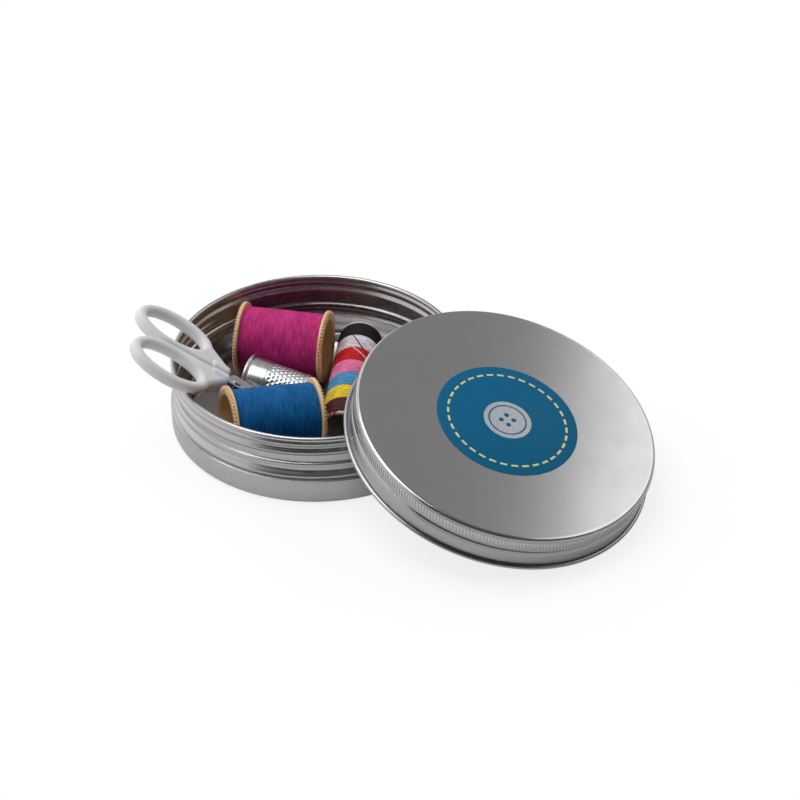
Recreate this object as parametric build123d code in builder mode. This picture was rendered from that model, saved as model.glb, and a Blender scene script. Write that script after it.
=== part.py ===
from build123d import *
import math
import os

# Sewing tin: a shallow screw tin of thin sheet with its lid leaning on it, and
# in the tin two spools, a thimble, a card tube of seven threads and scissors.
# Millimetres, +Z up. The origin is the middle of the tin, on the surface that
# it stands on, and the scissors' handles point along -X.

os.makedirs("parts", exist_ok=True)

# ---- driving sizes ----------------------------------------------------------
sheet = 0.35              # thickness of the tin's and the lid's metal
seat_gap = 0.3            # room left between loose pieces that touch
slip = 0.05               # room between pieces that are fixed to each other

# Tin
tin_height = 21.3
wall_radius = 41.5        # smooth wall below the thread
neck_radius = 40.0        # neck, at the bottom of its grooves
thread_depth = 0.8
thread_pitch = 2.75
first_crest_drop = 4.9    # from the top of the rim down to the first crest
band_height = 2.0         # flat band below the second crest
shoulder_height = 8.7     # rolled shoulder above the smooth wall
shoulder_radius = 41.2
step_height = 7.6         # top of the smooth wall
rim_bead = 0.7            # radius of the rolled rim
rim_overhang = 0.2        # how far the neck runs inside the rolled rim's middle
base_corner = 1.6
bead_sides = 6            # rolled edges have this many flats round them
corner_steps = 2          # and rounded corners this many

# Lid
lid_height = 10.9
lid_corner = 0.95
curl_bead = 0.55          # radius of the rolled lower edge
curl_overhang = 0.45      # how far the rolled edge stands out from the skirt
knurl_top = 1.2           # from the top of the lid down to the knurled band
knurl_height = 2.3
knurl_rise = 0.12
liner_thickness = 0.9
liner_margin = 1.1
label_radius = 19.6
label_thickness = 0.12
lid_heading = -36.0       # direction in which it leans down, degrees
lid_swing = 2.53          # its middle lies this much to one side of that, degrees
lid_distance = 58.97      # from the tin's axis to the middle of the lid's edge
lid_room = 0.74           # its lower edge above the rim, where the two cross

# Spools
spool_length = 25.8
flange_radius = 10.4
flange_thickness = 1.2
tooth_layer = 0.55        # toothed outer part of the flange's thickness
tooth_depth = 0.45
tooth_count = 60
barrel_radius = 8.6
bore_radius = 7.7
thread_thickness = 0.5    # thread wound on the barrel
thread_crown = 0.12       # how much fuller the thread is in its middle
winding_sides = 24        # wound thread has this many flats round it
magenta_yaw = -11.3       # direction of its length, degrees
magenta_touch = 122.2     # direction of the corner that is next to the tin's wall
blue_yaw = 17.8
blue_tilt = 5.7           # its left end is this much higher
blue_touch = -122.5

# Thimble
thimble_length = 19.0
thimble_mouth = 7.2       # outside radius of the wall at the mouth
thimble_end = 6.0         # outside radius of the wall at the top
thimble_wall = 0.45
thimble_bead = 0.45
thimble_dome = 1.9        # height of the rounded top
dome_turn = 4.3           # radius where the top turns down
dome_drop = 0.55          # how much lower the top is there
thimble_yaw = -19.0
thimble_back = 6.75       # its mouth from the middle of the magenta spool, along it
thimble_room = 0.1        # between its mouth and the thread, if they lay square

# Card tube and its threads
card_radius = 6.0
card_wall = 0.7
card_length = 45.8
band_width = 6.25
band_thickness = 0.4
tube_yaw = -96.0
tube_room = 0.95          # between the tube and the magenta spool's corner

# Scissors
loop_offset = 7.8         # middle of a finger loop from the seam
loop_reach = 17.6         # middle of a finger loop from the handles' inner end
loop_length = 11.8        # half the length of a loop, outside
loop_width = 7.6          # half its width, outside
loop_stock = 2.1          # width of the plastic round a loop
handle_thickness = 2.8
handle_bevel = 0.6        # broken edges of the handles
neck_width = 2.75         # half the width of the handles at their inner end
web_reach = 0.75          # where the handle meets its loop, as shares of the
web_spread = 0.45         # loop's half length and half width
bolster_length = 5.2      # thick block at the handles' inner end
bolster_thickness = 3.7
bolster_bevel = 0.4
seam_gap = 0.15           # each half stands this far from the middle
blade_reach = 27.4        # from the handles' inner end to the blades' tips
blade_thickness = 0.9
blade_gap = 0.05          # each blade stands this far from the middle plane
blade_back = 2.4          # widest place of a blade's back from the middle
belly_reach = 0.6         # where the back is still this share of its width, as a
belly_width = 0.62        # share of the blade's length
blade_edge = 0.8          # how far its cutting edge passes the middle
blade_tip = 0.25
tang_length = 7.0         # part of the blade held in the handle
tang_width = 1.6
rivet_inset = 3.2         # rivet ahead of the handles' inner end
rivet_radius = 0.9
rivet_head = 1.3
rivet_rise = 0.3
boss_radius = 2.5         # round part of a blade about the rivet
tip_place = 3.4           # the blades' tips from the tin's axis, towards the handles
rim_touch = 30.9          # where a handle crosses the rim, degrees from -X
thimble_side = 1.95       # between a blade's back and the thimble's mouth

rest_height = sheet + seat_gap    # where loose pieces lie above the surface


def corner_points(middle, radius, start, end):
    # A rounded corner of a profile, from one angle to the other, in degrees.
    turns = [math.radians(start + (end - start) * k / corner_steps) for k in range(corner_steps + 1)]
    return [(middle[0] + radius * math.cos(a), middle[1] + radius * math.sin(a)) for a in turns]


# ---- tin --------------------------------------------------------------------
rim_middle_z = tin_height - rim_bead
rim_middle_r = neck_radius + rim_overhang
crest_one = tin_height - first_crest_drop
crest_two = crest_one - thread_pitch
band_bottom = crest_two - band_height
crest_radius = neck_radius + thread_depth
half_pitch = thread_pitch / 2
base_middle = (wall_radius - base_corner, base_corner)

neck_points = [
    (shoulder_radius, shoulder_height),
    (neck_radius, (shoulder_height + band_bottom) / 2),
    (crest_radius, band_bottom),
    (crest_radius, crest_two),
    (neck_radius, crest_two + half_pitch),
    (crest_radius, crest_one),
    (neck_radius, crest_one + half_pitch),
    (neck_radius, rim_middle_z),
]

with BuildPart() as tin_body:
    with BuildSketch(Plane.XZ):
        with BuildLine():
            Polyline(
                (0, 0),
                *corner_points(base_middle, base_corner, -90, 0),
                (wall_radius, step_height - sheet),
                (shoulder_radius - sheet, step_height),
                *neck_points,
                *[(r - sheet, z) for r, z in reversed(neck_points)],
                (shoulder_radius - 2 * sheet, step_height),
                (wall_radius - sheet, step_height - 2 * sheet),
                *corner_points(base_middle, base_corner - sheet, 0, -90),
                (0, sheet),
                close=True,
            )
        make_face()
        with Locations((rim_middle_r, rim_middle_z)):
            RegularPolygon(rim_bead, bead_sides, rotation=90)
    revolve(axis=Axis.Z)
tin_body.part.label = "tin_body"
export_step(tin_body.part, "parts/tin_body.step")

# ---- lid, in its own frame: the lower edge is its zero ------------------------
# It leans down along lid_heading, its rolled edge on the surface and on the rim.
# Seen from above the edge crosses the rim edge_reach uphill from the lid's middle.
lid_radius = wall_radius
curl_middle_r = lid_radius + curl_overhang
skirt_inner = lid_radius - sheet
edge_reach = (lid_distance ** 2 - rim_middle_r ** 2 + curl_middle_r ** 2) / (2 * lid_distance)
lean = 0.0
for step in range(20):
    lean = math.atan((tin_height + lid_room) / (curl_middle_r * math.cos(lean) + edge_reach))
heading = math.radians(lid_heading)
bearing = heading + math.radians(lid_swing)
lid_plane = Plane(
    origin=(lid_distance * math.cos(bearing), lid_distance * math.sin(bearing),
            curl_middle_r * math.sin(lean) + curl_bead * (1 - math.cos(lean))),
    x_dir=(math.cos(heading) * math.cos(lean), math.sin(heading) * math.cos(lean),
           -math.sin(lean)),
    z_dir=(math.cos(heading) * math.sin(lean), math.sin(heading) * math.sin(lean),
           math.cos(lean)),
)
lid_place = lid_plane.location

lid_corner_middle = (lid_radius - lid_corner, lid_height - lid_corner)
knurl_z = lid_height - knurl_top

with BuildPart() as lid_shell:
    with BuildSketch(Plane.XZ):
        with BuildLine():
            Polyline(
                (0, lid_height),
                *corner_points(lid_corner_middle, lid_corner, 90, 0),
                (lid_radius + knurl_rise, knurl_z),
                (lid_radius + knurl_rise, knurl_z - knurl_height),
                (lid_radius, knurl_z - knurl_height - knurl_rise),
                (lid_radius, curl_bead),
                (skirt_inner, curl_bead),
                (skirt_inner, lid_height - lid_corner),
                (lid_radius - lid_corner, lid_height - sheet),
                (0, lid_height - sheet),
                close=True,
            )
        make_face()
        with Locations((curl_middle_r, curl_bead)):
            RegularPolygon(curl_bead, bead_sides, rotation=90)
    revolve(axis=Axis.Z)
lid_shell.part.label = "lid_shell"
lid_shell.part.locate(lid_place)
export_step(lid_shell.part, "parts/lid_shell.step")

with BuildPart() as lid_liner:
    with BuildSketch(Plane.XY.offset(lid_height - sheet)):
        Circle(skirt_inner - liner_margin)
    extrude(amount=-liner_thickness)
lid_liner.part.label = "lid_liner"
lid_liner.part.locate(lid_place)
export_step(lid_liner.part, "parts/lid_liner.step")

with BuildPart() as lid_label:
    with BuildSketch(Plane.XY.offset(lid_height)):
        Circle(label_radius)
    extrude(amount=label_thickness)
lid_label.part.label = "lid_label"
lid_label.part.locate(lid_place)
export_step(lid_label.part, "parts/lid_label.step")


# ---- spools -----------------------------------------------------------------
def lying_spool(touch, side, yaw, tilt):
    # It rests on the tin's bottom. The outer corner of its left end, on the far
    # side (1) or the near side (-1), clears the tin's mouth in the direction touch.
    # The spool's own Z becomes its length.
    half = spool_length / 2
    yaw = math.radians(yaw)
    tilt = math.radians(tilt)
    corner = rim_middle_r - rim_bead - seat_gap
    middle = (
        corner * math.cos(math.radians(touch)) + half * math.cos(tilt) * math.cos(yaw)
        + side * flange_radius * math.sin(yaw),
        corner * math.sin(math.radians(touch)) + half * math.cos(tilt) * math.sin(yaw)
        - side * flange_radius * math.cos(yaw),
        rest_height + flange_radius * math.cos(tilt) + half * math.sin(tilt),
    )
    along = (math.cos(yaw) * math.cos(tilt), math.sin(yaw) * math.cos(tilt), -math.sin(tilt))
    return Plane(origin=middle, x_dir=(0, 0, 1), z_dir=along)


def make_spool():
    half = spool_length / 2
    plain = flange_thickness - tooth_layer
    with BuildPart() as spool:
        with BuildSketch():
            Circle(barrel_radius)
        extrude(amount=half, both=True)
        for side in (-1, 1):
            inner_face = side * (half - flange_thickness)
            with BuildSketch(Plane.XY.offset(inner_face)):
                Circle(flange_radius)
            extrude(amount=side * plain)
            with BuildSketch(Plane.XY.offset(side * (half - tooth_layer))):
                with BuildLine():
                    rim_points = []
                    for k in range(2 * tooth_count):
                        reach = flange_radius - tooth_depth * (k % 2)
                        turn = math.pi * k / tooth_count
                        rim_points.append((reach * math.cos(turn), reach * math.sin(turn)))
                    Polyline(*rim_points, close=True)
                make_face()
            extrude(amount=side * tooth_layer)
        with BuildSketch():
            Circle(bore_radius)
        extrude(amount=half, both=True, mode=Mode.SUBTRACT)
    return spool.part


def make_wound_thread():
    half = spool_length / 2 - flange_thickness - slip
    outer = barrel_radius + thread_thickness
    full = outer + thread_crown
    with BuildPart() as wound:
        for height, radius in ((-half, outer), (-half / 2, full), (half / 2, full), (half, outer)):
            with BuildSketch(Plane.XY.offset(height)):
                RegularPolygon(radius, winding_sides)
        loft(ruled=True)
        with BuildSketch():
            RegularPolygon(barrel_radius + slip, winding_sides, major_radius=False)
        extrude(amount=half, both=True, mode=Mode.SUBTRACT)
    return wound.part


magenta_plane = lying_spool(magenta_touch, 1, magenta_yaw, 0)
blue_plane = lying_spool(blue_touch, -1, blue_yaw, blue_tilt)
for colour, plane in (("magenta", magenta_plane), ("blue", blue_plane)):
    body = make_spool()
    body.label = colour + "_spool"
    body.locate(plane.location)
    export_step(body, "parts/" + colour + "_spool.step")
    wound_thread = make_wound_thread()
    wound_thread.label = colour + "_thread"
    wound_thread.locate(plane.location)
    export_step(wound_thread, "parts/" + colour + "_thread.step")

# ---- thimble, its own Z runs from the mouth to the top --------------------------
# It lies on the bottom, its mouth beside the magenta thread.
mouth_outer = thimble_mouth + thimble_bead
thimble_lean = math.atan2(mouth_outer - thimble_end, thimble_length)
thimble_turn = math.radians(thimble_yaw)
thimble_along = (math.cos(thimble_turn) * math.cos(thimble_lean),
                 math.sin(thimble_turn) * math.cos(thimble_lean),
                 -math.sin(thimble_lean))
thimble_z = rest_height + mouth_outer * math.cos(thimble_lean) + thimble_bead * math.sin(thimble_lean)
spool_middle = magenta_plane.origin
reach = barrel_radius + thread_thickness + thread_crown + mouth_outer + thimble_room
across = math.sqrt(reach ** 2 - (spool_middle.Z - thimble_z) ** 2)
spool_turn = math.radians(magenta_yaw)
thimble_x = spool_middle.X - thimble_back * math.cos(spool_turn) + across * math.sin(spool_turn)
thimble_y = spool_middle.Y - thimble_back * math.sin(spool_turn) - across * math.cos(spool_turn)
thimble_plane = Plane(origin=(thimble_x, thimble_y, thimble_z), x_dir=(0, 0, 1), z_dir=thimble_along)
dome_points = [
    (thimble_end, thimble_length - thimble_dome),
    (dome_turn, thimble_length - dome_drop),
]

with BuildPart() as thimble:
    with BuildSketch(Plane.XZ):
        with BuildLine():
            Polyline(
                (thimble_mouth, thimble_bead),
                *dome_points,
                (0, thimble_length),
                (0, thimble_length - thimble_wall),
                *[(r - thimble_wall, z - thimble_wall) for r, z in reversed(dome_points)],
                (thimble_mouth - thimble_wall, thimble_bead),
                close=True,
            )
        make_face()
        with Locations((thimble_mouth, thimble_bead)):
            RegularPolygon(thimble_bead, bead_sides, rotation=90)
    revolve(axis=Axis.Z)
thimble.part.label = "thimble"
thimble.part.locate(thimble_plane.location)
export_step(thimble.part, "parts/thimble.step")

# ---- card tube with seven threads, its own Z runs towards the viewer ------------
# It lies on the bottom, past the far corner of the magenta spool's right end.
band_colours = ("black", "white", "red", "pink", "sky", "yellow", "brown")
band_radius = card_radius + band_thickness
band_margin = (card_length - len(band_colours) * band_width) / 2
tube_turn = math.radians(tube_yaw)
spool_corner = spool_middle + Vector(
    spool_length / 2 * math.cos(spool_turn) - flange_radius * math.sin(spool_turn),
    spool_length / 2 * math.sin(spool_turn) + flange_radius * math.cos(spool_turn),
    0)
tube_plane = Plane(
    origin=(spool_corner.X + tube_room + band_radius, spool_corner.Y, rest_height + band_radius),
    x_dir=(0, 0, 1),
    z_dir=(math.cos(tube_turn), math.sin(tube_turn), 0))

with BuildPart() as card_tube:
    with BuildSketch():
        Circle(card_radius)
        Circle(card_radius - card_wall, mode=Mode.SUBTRACT)
    extrude(amount=card_length)
card_tube.part.label = "card_tube"
card_tube.part.locate(tube_plane.location)
export_step(card_tube.part, "parts/card_tube.step")

for number, colour in enumerate(band_colours):
    start = band_margin + number * band_width
    with BuildPart() as band:
        with BuildSketch(Plane.XY.offset(start + slip)):
            RegularPolygon(band_radius, winding_sides)
            RegularPolygon(card_radius + slip, winding_sides, major_radius=False, mode=Mode.SUBTRACT)
        extrude(amount=band_width - 2 * slip)
    band.part.label = colour + "_winding"
    band.part.locate(tube_plane.location)
    export_step(band.part, "parts/" + colour + "_winding.step")

# ---- scissors, closed: X from the handles' inner end towards the loops, -----------
# Y across, Z through the blades. The rear half turns about the rivet. A blade's
# tip rests on the bottom and a handle on the rim, and these two give the slope.
over_bottom = blade_gap + blade_thickness + seat_gap
over_rim = handle_thickness / 2 + seat_gap
run = rim_middle_r * math.cos(math.radians(rim_touch)) - tip_place
climb = tin_height - sheet
slope = math.atan2(climb, run) + math.asin((over_rim - over_bottom) / math.hypot(run, climb))
scissor_along = Vector(-math.cos(slope), 0, math.sin(slope))
scissor_up = Vector(math.sin(slope), 0, math.cos(slope))
scissor_y = thimble_y - mouth_outer - thimble_side - blade_back
tip_point = Vector(-tip_place, scissor_y, sheet)
scissor_plane = Plane(
    origin=tip_point + scissor_up * over_bottom + scissor_along * blade_reach,
    x_dir=scissor_along, z_dir=scissor_up)


def make_handle(side):
    # side is 1 for the front half and -1 for the rear half.
    with BuildPart() as handle:
        with BuildSketch(Plane.XY.offset(-handle_thickness / 2)):
            with Locations((loop_reach, side * loop_offset)):
                Ellipse(loop_length, loop_width)
            with BuildLine():
                Polyline(
                    (0, side * seam_gap),
                    (0, side * neck_width),
                    (loop_reach - web_reach * loop_length,
                     side * (loop_offset + web_spread * loop_width)),
                    (loop_reach, side * loop_offset),
                    (loop_reach, side * seam_gap),
                    close=True,
                )
            make_face()
            with Locations((loop_reach, side * loop_offset)):
                Ellipse(loop_length - loop_stock, loop_width - loop_stock, mode=Mode.SUBTRACT)
            with Locations((loop_reach, -side * (loop_width - seam_gap))):
                Rectangle(3 * loop_length, 2 * loop_width, mode=Mode.SUBTRACT)
        extrude(amount=handle_thickness)
        outlines = handle.edges().group_by(Axis.Z)
        chamfer(outlines[0] + outlines[-1], length=handle_bevel)
        with BuildSketch(Plane.XY.offset(-bolster_thickness / 2)):
            with Locations((bolster_length / 2, side * (seam_gap + neck_width) / 2)):
                Rectangle(bolster_length, neck_width - seam_gap)
        extrude(amount=bolster_thickness)
        outlines = handle.edges().group_by(Axis.Z)
        chamfer(outlines[0] + outlines[-1], length=bolster_bevel)
        with BuildSketch(Plane.XY.offset(side * (blade_gap - slip))):
            with Locations((tang_length / 2, side * (seam_gap + neck_width) / 2)):
                Rectangle(tang_length + 2 * slip, tang_width + 2 * slip)
        extrude(amount=side * (blade_thickness + 2 * slip), mode=Mode.SUBTRACT)
    return handle.part


def make_blade(side):
    # The front half's blade lies on the rear side below the rivet.
    with BuildPart() as blade:
        with BuildSketch(Plane.XY.offset(side * blade_gap)):
            with Locations((-rivet_inset, 0)):
                Circle(boss_radius)
            with BuildLine():
                Polyline(
                    (-rivet_inset, -side * blade_back),
                    (-blade_reach * belly_reach, -side * blade_back * belly_width),
                    (-blade_reach, -side * blade_tip),
                    (-blade_reach, side * blade_tip),
                    (-rivet_inset - boss_radius, side * blade_edge),
                    (-rivet_inset, side * blade_edge),
                    close=True,
                )
            make_face()
            with Locations((0, side * (seam_gap + neck_width) / 2)):
                Rectangle(2 * rivet_inset, tang_width)
            with Locations((tang_length / 2, side * (seam_gap + neck_width) / 2)):
                Rectangle(tang_length, tang_width)
            with Locations((-rivet_inset, 0)):
                Circle(rivet_radius + slip, mode=Mode.SUBTRACT)
        extrude(amount=side * blade_thickness)
    return blade.part


for half_name, side in (("front", 1), ("rear", -1)):
    handle_part = make_handle(side)
    handle_part.label = half_name + "_handle"
    handle_part.locate(scissor_plane.location)
    export_step(handle_part, "parts/" + half_name + "_handle.step")
    blade_part = make_blade(side)
    blade_part.label = half_name + "_blade"
    blade_part.locate(scissor_plane.location)
    export_step(blade_part, "parts/" + half_name + "_blade.step")

with BuildPart() as scissor_rivet:
    pin_half = blade_gap + blade_thickness + slip
    with BuildSketch(Plane.XY.offset(-pin_half)):
        with Locations((-rivet_inset, 0)):
            Circle(rivet_radius)
    extrude(amount=2 * pin_half)
    for side in (-1, 1):
        with BuildSketch(Plane.XY.offset(side * pin_half)):
            with Locations((-rivet_inset, 0)):
                Circle(rivet_head)
        extrude(amount=side * rivet_rise)
scissor_rivet.part.label = "scissor_rivet"
scissor_rivet.part.locate(scissor_plane.location)
export_step(scissor_rivet.part, "parts/scissor_rivet.step")
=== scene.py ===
import math

import bpy
import numpy as np
from mathutils import Matrix, Vector
from mathutils.bvhtree import BVHTree


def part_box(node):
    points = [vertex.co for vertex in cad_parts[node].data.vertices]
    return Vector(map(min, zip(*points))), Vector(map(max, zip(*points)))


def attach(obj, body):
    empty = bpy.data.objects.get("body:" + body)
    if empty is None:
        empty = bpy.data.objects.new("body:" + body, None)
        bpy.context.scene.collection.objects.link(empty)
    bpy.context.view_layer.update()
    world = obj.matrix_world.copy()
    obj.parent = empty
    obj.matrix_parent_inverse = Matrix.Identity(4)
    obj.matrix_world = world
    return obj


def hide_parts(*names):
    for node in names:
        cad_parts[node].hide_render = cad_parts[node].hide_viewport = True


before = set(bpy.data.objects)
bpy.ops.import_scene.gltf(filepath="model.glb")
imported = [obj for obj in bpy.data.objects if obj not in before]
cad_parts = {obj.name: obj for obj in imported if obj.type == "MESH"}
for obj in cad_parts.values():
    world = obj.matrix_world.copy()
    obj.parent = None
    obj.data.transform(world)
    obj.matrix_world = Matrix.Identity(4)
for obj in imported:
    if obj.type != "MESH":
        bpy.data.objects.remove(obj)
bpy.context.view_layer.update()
mm = 0.001
fullTurn = 2 * math.pi


# ---- selection and small mesh helpers
def clearSelection():
    if bpy.context.object and bpy.context.object.mode != "OBJECT":
        bpy.ops.object.mode_set(mode="OBJECT")
    bpy.ops.object.select_all(action="DESELECT")


def choose(piece):
    clearSelection()
    piece.select_set(True)
    bpy.context.view_layer.objects.active = piece


def readPoints(piece):
    points = np.zeros(len(piece.data.vertices) * 3)
    piece.data.vertices.foreach_get("co", points)
    return points.reshape(-1, 3)


def writePoints(piece, points):
    piece.data.vertices.foreach_set("co", points.ravel())
    piece.data.update()


def applyModifier(piece, kind, **settings):
    choose(piece)
    modifier = piece.modifiers.new(kind.title(), kind)
    for key, value in settings.items():
        setattr(modifier, key, value)
    bpy.ops.object.modifier_apply(modifier=modifier.name)


def bevelActive(offset):
    # every edge of the active piece, offset in millimetres
    bpy.ops.object.mode_set(mode="EDIT")
    bpy.ops.mesh.select_all(action="SELECT")
    bpy.ops.mesh.bevel(offset=offset * mm, segments=2)
    bpy.ops.object.mode_set(mode="OBJECT")


def repeatAround(piece, count):
    # copies of the piece, evenly spaced about Z
    bpy.ops.object.empty_add(location=(0, 0, 0), rotation=(0, 0, fullTurn / count))
    turner = bpy.context.object
    applyModifier(piece, "ARRAY", count=count, use_relative_offset=False,
                  use_object_offset=True, offset_object=turner)
    bpy.data.objects.remove(turner)


def keepVector(piece, name, values):
    layer = piece.data.attributes.get(name) or piece.data.attributes.new(name, "FLOAT_VECTOR", "POINT")
    layer.data.foreach_set("vector", np.asarray(values, np.float32).ravel())


def arc(centre, radius, start, end, steps):
    # points of a round stretch of a profile, angles in degrees
    turns = np.radians(np.linspace(start, end, steps))
    return [(centre[0] + radius * math.cos(a), centre[1] + radius * math.sin(a)) for a in turns]


def turnProfile(name, points, steps):
    # a vertex is extruded along the profile, in millimetres, and spun about Z
    clearSelection()
    bpy.ops.mesh.primitive_plane_add(size=1, location=(0, 0, 0))
    piece = bpy.context.object
    piece.name = name
    bpy.ops.object.mode_set(mode="EDIT")
    bpy.ops.mesh.merge(type="CENTER")
    bpy.ops.transform.translate(value=(points[0][0] * mm, 0, points[0][1] * mm))
    for here, there in zip(points, points[1:]):
        step = ((there[0] - here[0]) * mm, 0, (there[1] - here[1]) * mm)
        bpy.ops.mesh.extrude_region_move(TRANSFORM_OT_translate={"value": step})
    bpy.ops.mesh.select_all(action="SELECT")
    bpy.ops.mesh.spin(steps=steps, angle=fullTurn, center=(0, 0, 0), axis=(0, 0, 1))
    bpy.ops.mesh.select_all(action="SELECT")
    bpy.ops.mesh.remove_doubles(threshold=2e-6)
    bpy.ops.mesh.normals_make_consistent(inside=False)
    bpy.ops.object.mode_set(mode="OBJECT")
    return piece


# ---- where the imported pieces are
def turnedFrame(node, towards):
    # own frame of a turned piece: origin at its low end, Z along its axis
    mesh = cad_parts[node].data
    points = np.array([v.co for v in mesh.vertices])
    normals = np.array([p.normal for p in mesh.polygons])
    areas = np.array([p.area for p in mesh.polygons])
    values, vectors = np.linalg.eigh((normals * areas[:, None]).T @ normals)
    odd = 0 if values[1] - values[0] > values[2] - values[1] else 2
    axis = Vector(vectors[:, odd]).normalized()
    if axis.dot(Vector(towards)) < 0:
        axis = -axis
    side = Vector((0, 0, 1)).cross(axis)
    side = side.normalized() if side.length > 0.05 else Vector((1, 0, 0))
    up = axis.cross(side).normalized()
    side = up.cross(axis).normalized()
    middle = Vector((0, 0, 0))
    for direction in (side, up):
        reach = points @ np.array(direction)
        middle += direction * (reach.min() + reach.max()) / 2
    along = points @ np.array(axis)
    middle += axis * along.min()
    place = Matrix((side, up, axis)).transposed().to_4x4()
    place.translation = middle
    return place, (along.max() - along.min()) / mm


def place(piece, matrix):
    # keeps the piece's own coordinates for its material, then puts it in place
    keepVector(piece, "local", readPoints(piece))
    choose(piece)
    piece.matrix_world = matrix
    bpy.ops.object.transform_apply(location=True, rotation=True, scale=True)


def shineAround(piece, matrix):
    # gloss is drawn out across the turning marks
    points = readPoints(piece)
    normals = np.array([v.normal for v in piece.data.vertices])
    axis = np.array(matrix.col[2].to_3d())
    around = np.cross(axis, points - np.array(matrix.translation))
    shine = np.cross(around, normals)
    size = np.linalg.norm(shine, axis=1)
    shine[size < 1e-9] = np.array(matrix.col[0].to_3d())
    keepVector(piece, "shine", shine / np.maximum(size, 1e-9)[:, None])


def finishPiece(piece, body, material, nodes=(), angle=40):
    choose(piece)
    bpy.ops.object.shade_smooth_by_angle(angle=math.radians(angle))
    piece.data.materials.clear()
    piece.data.materials.append(material)
    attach(piece, body)
    if nodes:
        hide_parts(*nodes)
    return piece


# ---- material helpers
def addNode(tree, kind, inputs=None, **settings):
    node = tree.nodes.new(kind)
    for key, value in settings.items():
        setattr(node, key, value)
    for socket, source in (inputs or {}).items():
        if isinstance(source, bpy.types.NodeSocket):
            tree.links.new(source, node.inputs[socket])
        else:
            node.inputs[socket].default_value = source
    return node


def newMaterial(name, color, roughness, **sockets):
    material = bpy.data.materials.new(name)
    material.use_nodes = True
    shader = material.node_tree.nodes["Principled BSDF"]
    shader.inputs["Base Color"].default_value = (*color, 1)
    shader.inputs["Roughness"].default_value = roughness
    for socket, value in sockets.items():
        shader.inputs[socket.replace("_", " ")].default_value = value
    return material, material.node_tree, shader


def localCoordinates(tree):
    return addNode(tree, "ShaderNodeAttribute", attribute_name="local").outputs["Vector"]


def math2(tree, operation, a, b=0.0):
    return addNode(tree, "ShaderNodeMath", {0: a, 1: b}, operation=operation).outputs[0]


def blended(tree, first, second, share):
    # a share of the first value and the rest of the second
    return math2(tree, "ADD", math2(tree, "MULTIPLY", first, share),
                 math2(tree, "MULTIPLY", second, 1 - share))


def scaled(tree, vector, factors):
    return addNode(tree, "ShaderNodeVectorMath", {0: vector, 1: factors}, operation="MULTIPLY").outputs[0]


def noise(tree, vector, scale, detail=3.0, rough=0.55):
    inputs = {"Vector": vector, "Scale": scale, "Detail": detail, "Roughness": rough}
    return addNode(tree, "ShaderNodeTexNoise", inputs).outputs["Fac"]


def ranged(tree, value, low, high, fromLow=0.3, fromHigh=0.7):
    inputs = {"Value": value, "From Min": fromLow, "From Max": fromHigh, "To Min": low, "To Max": high}
    return addNode(tree, "ShaderNodeMapRange", inputs).outputs[0]


def mixColor(tree, factor, first, second, blend="MIX"):
    node = addNode(tree, "ShaderNodeMix", data_type="RGBA", blend_type=blend)
    for index, source in ((0, factor), (6, first), (7, second)):
        if isinstance(source, bpy.types.NodeSocket):
            tree.links.new(source, node.inputs[index])
        else:
            node.inputs[index].default_value = source if index == 0 else (*source, 1)
    return node.outputs[2]


def bump(tree, height, strength, distance):
    inputs = {"Height": height, "Strength": strength, "Distance": distance * mm}
    return addNode(tree, "ShaderNodeBump", inputs)


def turnedVector(tree, around):
    # radius, angle and height of a turned piece, for marks that run round it
    split = addNode(tree, "ShaderNodeSeparateXYZ", {0: localCoordinates(tree)}).outputs
    angle = math2(tree, "ARCTAN2", split[1], split[0])
    radius = math2(tree, "POWER", math2(tree, "ADD", math2(tree, "MULTIPLY", split[0], split[0]),
                                        math2(tree, "MULTIPLY", split[1], split[1])), 0.5)
    inputs = {0: radius, 1: math2(tree, "MULTIPLY", angle, around), 2: split[2]}
    return addNode(tree, "ShaderNodeCombineXYZ", inputs).outputs[0]


def shineTangent(tree, shader, anisotropy):
    # the direction is stored on the piece, in its own space
    stored = addNode(tree, "ShaderNodeAttribute", attribute_name="shine").outputs["Vector"]
    turned = addNode(tree, "ShaderNodeVectorTransform", {0: stored}, vector_type="VECTOR",
                     convert_from="OBJECT", convert_to="WORLD").outputs[0]
    tree.links.new(turned, shader.inputs["Tangent"])
    shader.inputs["Anisotropic"].default_value = anisotropy


def turnedMetal(name, color, roughness, anisotropy=0.5, lines=5200, depth=0.006):
    # drawn or turned sheet: fine marks round it and faint smears
    material, tree, shader = newMaterial(name, color, roughness, Metallic=1.0)
    marks = noise(tree, turnedVector(tree, 0.0016), lines, 4.0, 0.7)
    smears = noise(tree, localCoordinates(tree), 70, 4.0, 0.6)
    rough = math2(tree, "ADD", ranged(tree, marks, roughness - 0.06, roughness + 0.06),
                  ranged(tree, smears, -0.04, 0.06))
    tree.links.new(rough, shader.inputs["Roughness"])
    dark = tuple(c * 0.86 for c in color)
    tree.links.new(mixColor(tree, ranged(tree, marks, 0, 1), dark, color), shader.inputs["Base Color"])
    tree.links.new(bump(tree, marks, 0.5, depth).outputs[0], shader.inputs["Normal"])
    shineTangent(tree, shader, anisotropy)
    return material


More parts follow.
